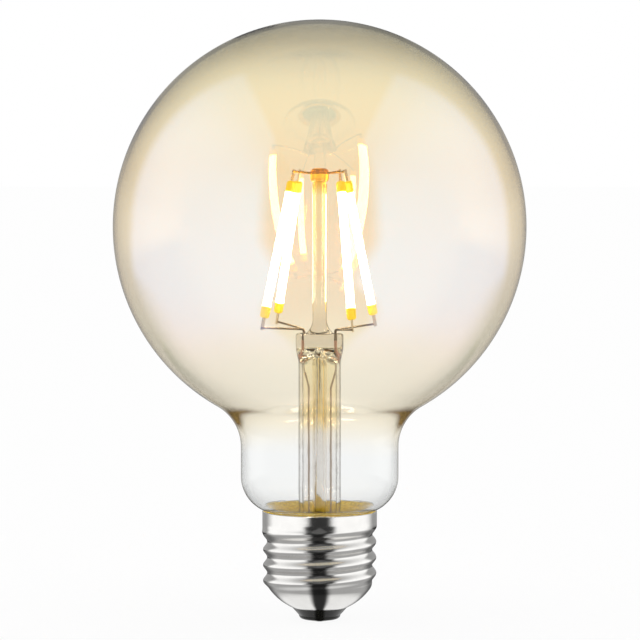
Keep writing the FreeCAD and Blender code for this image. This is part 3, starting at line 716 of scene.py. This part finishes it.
# Cap shell: sheet rolled into a knuckle thread between a plain collar and a rounded cone
def make_shell(outside, inside):
    chord = Vector((ROOT_R - LIP_R, CONE_TOP - LIP_Z))
    rise = math.sqrt(CONE_ARC_R**2 - (chord.length / 2) ** 2)
    centre = Vector((LIP_R, LIP_Z)) + chord / 2 + Vector((-chord.y, chord.x)).normalized() * rise
    turns = np.linspace(0, 2 * math.pi, SHELL_COUNT, endpoint=False)

    def blank(z):
        cone = centre.x + np.sqrt(CONE_ARC_R**2 - np.minimum(z - centre.y, 0) ** 2)
        wall = ROOT_R + (COLLAR_R - ROOT_R) * np.clip((z - STEP_LOW) / (STEP_HIGH - STEP_LOW), 0, 1)
        return np.where(z < CONE_TOP, cone, wall)

    def rolled(z):
        """The blank's radius with its corners rounded over a short stretch."""
        spread = np.linspace(-CORNER_ROUND, CORNER_ROUND, CORNER_STEPS + 1)
        inside_ends = min(CORNER_ROUND, z - LIP_Z, RIM_Z - z) / CORNER_ROUND
        return float(np.mean(blank(z + spread * inside_ends)))

    def ridge(z):
        """The thread's height around the shell, which fades out at its two ends."""
        crest = CREST_Z + PITCH * turns / (2 * math.pi)
        lap = np.round((z - crest) / PITCH)
        phase = (z - crest) / PITCH - lap
        turn = turns / (2 * math.pi) + lap
        height = smooth(THREAD_FIRST, THREAD_FIRST + THREAD_FADE, turn)
        height = height * (1 - smooth(THREAD_LAST - THREAD_FADE, THREAD_LAST, turn))
        return (CREST_R - ROOT_R) * height * (0.5 + 0.5 * np.cos(2 * math.pi * phase))

    def ring(z, inset):
        radius = rolled(z) + ridge(z) - inset
        return [(r * math.cos(a), r * math.sin(a), z) for r, a in zip(radius, turns)]

    levels = np.concatenate([
        np.linspace(LIP_Z, CONE_LAST, CONE_LEVELS),
        np.arange(*THREAD_LEVELS, LEVEL_GAP),
        np.linspace(COLLAR_FIRST, COLLAR_LAST, COLLAR_LEVELS),
    ])
    outer = [ring(z, 0) for z in levels]
    rim = lathe([(COLLAR_R - SHELL_WALL / 2, RIM_Z)], SHELL_COUNT)
    inner = [ring(z, SHELL_WALL) for z in levels[::-1]]
    mesh = skin("screw_shell", outer + rim + inner)
    first_inner = (len(outer) + 1) * SHELL_COUNT
    for face in mesh.polygons:
        face.material_index = int(min(face.vertices) >= first_inner)
    new_piece("screw_shell", mesh, "nickel_shell", [outside, inside], "cap_shell")


# Filaments: each takes the line of its solid
def swell(z, length, corner):
    """The thickness of the dipped resin, slimmer between its ends, as a share of the full radius."""
    waist = float(smooth(DEAD_END - WAIST_FADE, DEAD_END + WAIST_FADE, min(z, length - z)))
    wave = 0.5 + 0.5 * math.sin(WAVE_ALONG * z + WAVE_TWIST * math.sin(WAVE_AROUND * corner))
    return 1 - RESIN_SLIM * waist - RESIN_UNEVEN * wave


def make_filaments():
    material = None
    for place in ("front_left", "front_right", "back_left", "back_right"):
        solid, name = f"filament_{place}", f"lit_filament_{place}"
        points = np.array([v.co for v in NODES[solid].data.vertices]) / MM
        middle = (points.min(0) + points.max(0)) / 2
        axis = np.linalg.svd(points - points.mean(0), full_matrices=False)[2][0]
        axis *= math.copysign(1, axis[2])
        along = (points - middle) @ axis
        length = along.max() - along.min()
        radius = np.linalg.norm(points - middle - np.outer(along, axis), axis=1).max()
        material = material or phosphor(length)
        sides = np.linspace(TIP_ROUND, length - TIP_ROUND, FILAMENT_STEPS + 1)[1:-1]
        outline = (
            [(0, 0)]
            + arc((radius - TIP_ROUND, TIP_ROUND), TIP_ROUND, -80, 0, TIP_STEPS)
            + [(radius, z) for z in sides]
            + arc((radius - TIP_ROUND, length - TIP_ROUND), TIP_ROUND, 0, 80, TIP_STEPS)
            + [(0, length)]
        )
        rings = []
        for ring in lathe(outline, FILAMENT_COUNT):
            shares = [swell(z, length, corner) for corner, (_, _, z) in enumerate(ring)]
            rings.append([(x * share, y * share, z) for share, (x, y, z) in zip(shares, ring)])
        piece = new_piece(name, skin(name, rings), "phosphor", [material], solid)
        foot = Vector(middle + axis * along.min()) * MM
        turn = Vector((0, 0, 1)).rotation_difference(Vector(axis))
        piece.matrix_world = Matrix.Translation(foot) @ turn.to_matrix().to_4x4()


# World: the studio, which the camera sees as plain white
def headings(n, point):
    """How far a point or direction lies forward, to either side and up, seen from the camera."""
    heading = math.radians(CAMERA_AZIMUTH)

    def part(vector):
        return n.add("VectorMath", {0: point, 1: vector}, operation="DOT_PRODUCT").outputs["Value"]

    side = n.math("ABSOLUTE", part((math.cos(heading), math.sin(heading), 0)))
    return part((math.sin(heading), -math.cos(heading), 0)), side, part((0, 0, 1))


def side_panels(n, around, near_edge, far_edge):
    """The studio's light by heading: dim front, panels, a gap behind them and the white back."""
    past = n.step(n.math("SUBTRACT", around, near_edge), -NEAR_SOFT, NEAR_SOFT)
    panels = n.between(past, DIM_FRONT, PANEL_LIGHT)
    gap = n.between(n.step(around, far_edge, FAR_END), panels, DIM_GAP)
    return n.between(n.step(around, *BACK_EDGE), gap, 1.0)


def make_world():
    world = bpy.data.worlds.new("studio")
    bpy.context.scene.world = world
    n = Nodes(world)

    def light(strength):
        return n.add("Background", {"Color": WHITE, "Strength": strength}).outputs[0]

    forward, side, up = headings(n, n.add("TexCoord").outputs["Generated"])
    sides = side_panels(n, n.math("ARCTAN2", side, forward), NEAR_EDGE, FAR_EDGE)
    rise = n.math("DIVIDE", up, n.math("MAXIMUM", side, LEAST_SIDE))
    sides = n.times(sides, n.step(rise, *PANEL_FADE, 1.0, PANEL_TOP))
    studio = n.between(n.step(rise, *PANEL_END), sides, DIM_TOP)
    behind = n.step(up, *HAZE_RISE, 1.0, HAZE_TOP)
    haze = n.between(n.step(forward, *HAZE_TURN), behind, HAZE_FRONT)
    path = n.add("LightPath").outputs
    through = n.shade(path["Is Transmission Ray"], light(studio), light(haze))
    both = n.shade(path["Is Camera Ray"], through, light(1.0))
    n.add("OutputWorld", {"Surface": both})


# Floor: white to the camera but for a faint shadow. In reflections it shows painted light in bands like
# the side panels, a painted shadow around the lamp's foot and a painted dark patch behind.
def floor_material():
    material, n = new_material("pale_floor")

    def light(strength):
        return n.add("Emission", {"Color": WHITE, "Strength": strength}).outputs[0]

    forward, side, _ = headings(n, n.add("NewGeometry").outputs["Position"])
    around = n.math("ARCTAN2", side, forward)
    away = n.math("DIVIDE", n.math("SQRT", n.squares(forward, side)), MM)
    path = n.add("LightPath").outputs

    # Bands of painted light like the side panels, seen in reflections
    near_edge = n.step(away, *NEAR_SPREAD, FOOT_NEAR_EDGE, NEAR_EDGE)
    band = n.times(n.step(away, *BAND_START), n.step(n.math("DIVIDE", BAND_REACH, away), *BAND_FADE))
    near_edge = n.math("SUBTRACT", near_edge, n.times(band, BAND_NARROW))
    far_edge = n.step(away, *FAR_SPREAD, FOOT_FAR_EDGE, FAR_EDGE)
    panels = side_panels(n, around, near_edge, far_edge)
    # Painted shadow in reflections, darker under and near the lamp's foot
    mirrored_shade = n.step(away, *UNDER_END, PAINTED_SHADE_UNDER, PAINTED_SHADE_NEAR)
    mirrored_shade = n.times(mirrored_shade, n.step(away, *NEAR_END, 1.0, 1.0 / PAINTED_SHADE_NEAR))
    # A painted dark patch on the floor behind the lamp, seen in reflections
    dark_patch = n.times(n.step(away, *PATCH_START), n.fall(away, *PATCH_END))
    dark_patch = n.times(dark_patch, n.step(around, *PATCH_TURN))
    mirrored_shade = n.times(mirrored_shade, n.math("SUBTRACT", 1.0, n.times(dark_patch, DARK_PATCH_DEPTH)))
    painted_reflection = light(n.times(panels, mirrored_shade))

    paint = n.add("BsdfDiffuse", {"Color": FLOOR_PAINT}).outputs[0]
    # Through the glass the floor shows painted light, dimmer on the camera's side
    behind = n.step(forward, *FLOOR_TURN, 1.0, HAZE_FRONT)
    lit = light(n.math("MAXIMUM", path["Is Camera Ray"], behind))
    seen = n.times(path["Is Camera Ray"], FLOOR_SEEN)
    plain = n.shade(n.math("MAXIMUM", seen, path["Is Transmission Ray"]), paint, lit)
    bounced = n.math("SUBTRACT", path["Is Glossy Ray"], path["Is Transmission Ray"])
    n.add("OutputMaterial", {"Surface": n.shade(bounced, plain, painted_reflection)})
    return material


def make_floor():
    corners = [(-1, -1, 0), (1, -1, 0), (1, 1, 0), (-1, 1, 0)]
    mesh = bpy.data.meshes.new("floor")
    mesh.from_pydata([Vector(c) * FLOOR_HALF * MM for c in corners], [], [(0, 1, 2, 3)])
    mesh.materials.append(floor_material())
    floor = bpy.data.objects.new("floor", mesh)
    bpy.context.scene.collection.objects.link(floor)
    floor.location.z = -FLOOR_DROP * MM


# Light and camera
def make_light():
    data = bpy.data.lights.new("overhead", "SUN")
    data.energy = SKY_LIGHT
    data.angle = SKY_SPREAD
    light = bpy.data.objects.new("overhead", data)
    light.visible_glossy = False
    light.visible_transmission = False
    bpy.context.scene.collection.objects.link(light)


def make_camera():
    heading, pitch = math.radians(CAMERA_AZIMUTH), math.radians(CAMERA_PITCH)
    back = Vector((
        math.sin(heading) * math.cos(pitch), -math.cos(heading) * math.cos(pitch), math.sin(pitch)
    ))
    data = bpy.data.cameras.new("camera")
    data.sensor_width = SENSOR
    data.lens = SENSOR * CAMERA_DISTANCE / VIEW_WIDTH
    data.clip_start = 10 * MM
    camera = bpy.data.objects.new("camera", data)
    bpy.context.scene.collection.objects.link(camera)
    right = Vector((math.cos(heading), math.sin(heading), 0))
    aim = right * CAMERA_AIM_SIDE + Vector((0, 0, CAMERA_AIM_Z))
    camera.location = (aim + back * CAMERA_DISTANCE) * MM
    camera.rotation_euler = back.to_track_quat("Z", "Y").to_euler()
    bpy.context.scene.camera = camera


# Materials of the solids that stay, by slot, and of the tabs and top wires, by name
nickel = plated("nickel_plate", (0.86, 0.85, 0.83), (0.72, 0.71, 0.69), 0.16, 0.05)
brass = plated("brass_inside", (0.82, 0.6, 0.2), (0.6, 0.4, 0.1), 0.3, 0.05)
amber, clear, cement = amber_glass(), clear_glass(), cap_cement()
CAD_MATERIALS = {
    "amber_glass": amber,
    "clear_glass": clear,
    "nickel_shell": nickel,
    "black_insulator": black_insulator(),
    "contact_metal": plated("tinned_contact", (0.8, 0.79, 0.76), (0.55, 0.54, 0.52), 0.35, 0.1),
    "cap_cement": cement,
    "seal_copper": plated("copper_clad", (0.95, 0.62, 0.5), (0.75, 0.42, 0.32), 0.35, 0.05),
    "tinned_lead": plated("tinned_wire", (0.82, 0.72, 0.62), (0.5, 0.38, 0.3), 0.35, 0.05),
    "nickel_wire": plated("drawn_nickel", (0.42, 0.34, 0.26), (0.2, 0.16, 0.12), 0.3, 0.05),
    "board_laminate": board_laminate(),
    "part_epoxy": moulded("black_epoxy", (0.012, 0.012, 0.013), (0.035, 0.035, 0.037), 3.0, 0.5),
    "capacitor_sleeve": moulded("shrink_sleeve", (0.01, 0.013, 0.025), (0.03, 0.035, 0.05), 1.0, 0.25),
    "resistor_ceramic": moulded("glazed_ceramic", (0.03, 0.032, 0.035), (0.07, 0.07, 0.075), 2.0, 0.35),
}
tab_plate = plated("bright_tab", (0.9, 0.8, 0.62), (0.75, 0.62, 0.45), 0.3, 0.05)
# The top wires are orange-brown
top_wire = plated("orange_brown_wire", (0.62, 0.4, 0.07), (0.36, 0.2, 0.02), 0.35, 0.05)
for name, node in NODES.items():
    slot = node.data.materials[0].name
    if name.endswith("_tab"):
        node.data.materials[0] = tab_plate
    elif name.startswith("top_wire"):
        node.data.materials[0] = top_wire
    elif slot in CAD_MATERIALS:
        node.data.materials[0] = CAD_MATERIALS[slot]

# The pieces and the studio around them
make_globe(amber, blown_glass(), cement)
make_stem(clear)
make_shell(nickel, brass)
make_filaments()
make_world()
make_floor()
make_light()
make_camera()

scene = bpy.context.scene
scene.view_settings.view_transform = "Standard"
scene.cycles.max_bounces = ALL_BOUNCES
scene.cycles.transmission_bounces = ALL_BOUNCES
scene.cycles.glossy_bounces = MIRROR_BOUNCES
